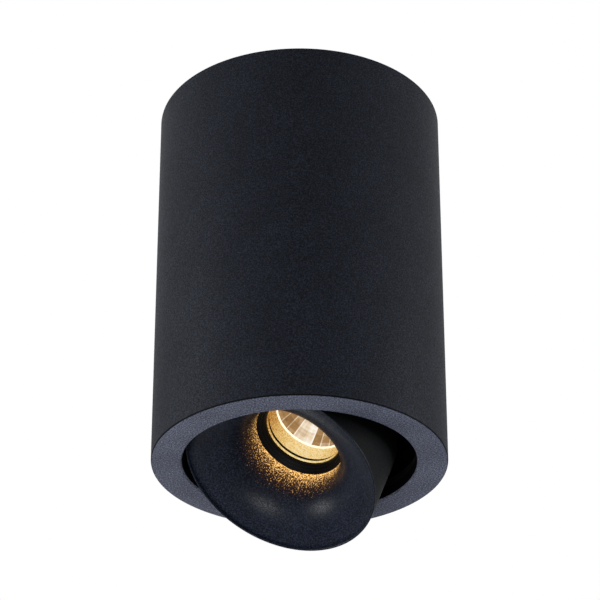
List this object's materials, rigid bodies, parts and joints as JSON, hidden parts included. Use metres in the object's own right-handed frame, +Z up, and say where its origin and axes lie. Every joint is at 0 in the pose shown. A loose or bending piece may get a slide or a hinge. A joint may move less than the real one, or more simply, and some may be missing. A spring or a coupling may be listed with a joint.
{
  "type": "surface mounted ceiling spotlight",
  "caption": "Cylindrical surface mounted ceiling spotlight in textured black, with a deep flared lamp head that tilts and swivels in the round opening of its lower face.",
  "frame": {"origin": "centre of the ceiling face, which is also the middle of the two fixing slots", "axes": "+Z up into the ceiling, along the can's axis; -Y towards the viewer of the picture; the two fixing slots lie along Y"},
  "size_m": [0.096, 0.096, 0.1524],
  "materials": {
    "can_black": "fine textured powder coat",
    "head_black": "fine textured powder coat",
    "plastic_black": "moulded, satin",
    "sink_aluminium": "extruded, natural",
    "steel_zinc": "zinc plated",
    "steel_dark": "black painted steel sheet",
    "nylon_white": "moulded nylon",
    "glide_white": "low friction film",
    "rubber_black": "matt",
    "brass_yellow": "turned",
    "driver_white": "moulded",
    "board_green": "circuit board",
    "reflector_bright": "vapour metallised facets",
    "optic_cream": "satin, lit by the light source",
    "led_ceramic": "alumina board",
    "led_phosphor": "phosphor under silicone",
    "pad_grey": "thermal pad",
    "lead_grey": "sheathed lead"
  },
  "bodies": {
    "housing": {"can": "can_black", "glide_ring": "glide_white", "swivel_stop_pin": "steel_zinc", "retaining_ring": "steel_dark", "ceiling_plate": "steel_zinc", "cable_grommet": "rubber_black", "side_screws": "steel_dark", "terminal_block": "nylon_white", "terminal_screws": "brass_yellow", "terminal_fixing_screw": "steel_zinc", "cable_clamp": "nylon_white", "cable_clamp_screws": "steel_zinc", "earth_tag": "brass_yellow", "earth_screw": "steel_zinc", "driver_bracket": "steel_zinc", "bracket_screws": "steel_zinc", "driver_case": "driver_white", "driver_cover": "driver_white", "driver_board": "board_green", "driver_screws": "steel_zinc", "lead_connector": "nylon_white", "mains_lead": "lead_grey", "output_lead": "lead_grey"},
    "swivel": {"swivel_ring": "steel_dark"},
    "head": {"head_shell": "head_black", "friction_washers": "nylon_white", "spring_washers": "steel_zinc", "pivot_screws": "steel_dark", "anti_glare_ring": "plastic_black", "optic_tube": "optic_cream", "reflector": "reflector_bright", "led_board": "led_ceramic", "led_emitter": "led_phosphor", "led_holder": "nylon_white", "led_screws": "steel_zinc", "thermal_pad": "pad_grey", "heat_sink": "sink_aluminium", "heat_sink_screws": "steel_zinc", "lead_grommet": "rubber_black", "head_lead": "lead_grey"}
  },
  "joints": [
    {"name": "swivel", "type": "hinge", "parent": "housing", "child": "swivel", "pos_m": [0, 0, -0.1254], "axis": [0, 0, 1], "range_deg": [-175, 175]},
    {"name": "tilt", "type": "hinge", "parent": "swivel", "child": "head", "pos_m": [-0.01053, -0.00982, -0.1165], "axis": [-0.682, 0.7314, 0], "range_deg": [-31, 4], "deforming": ["head_lead"]}
  ]
}
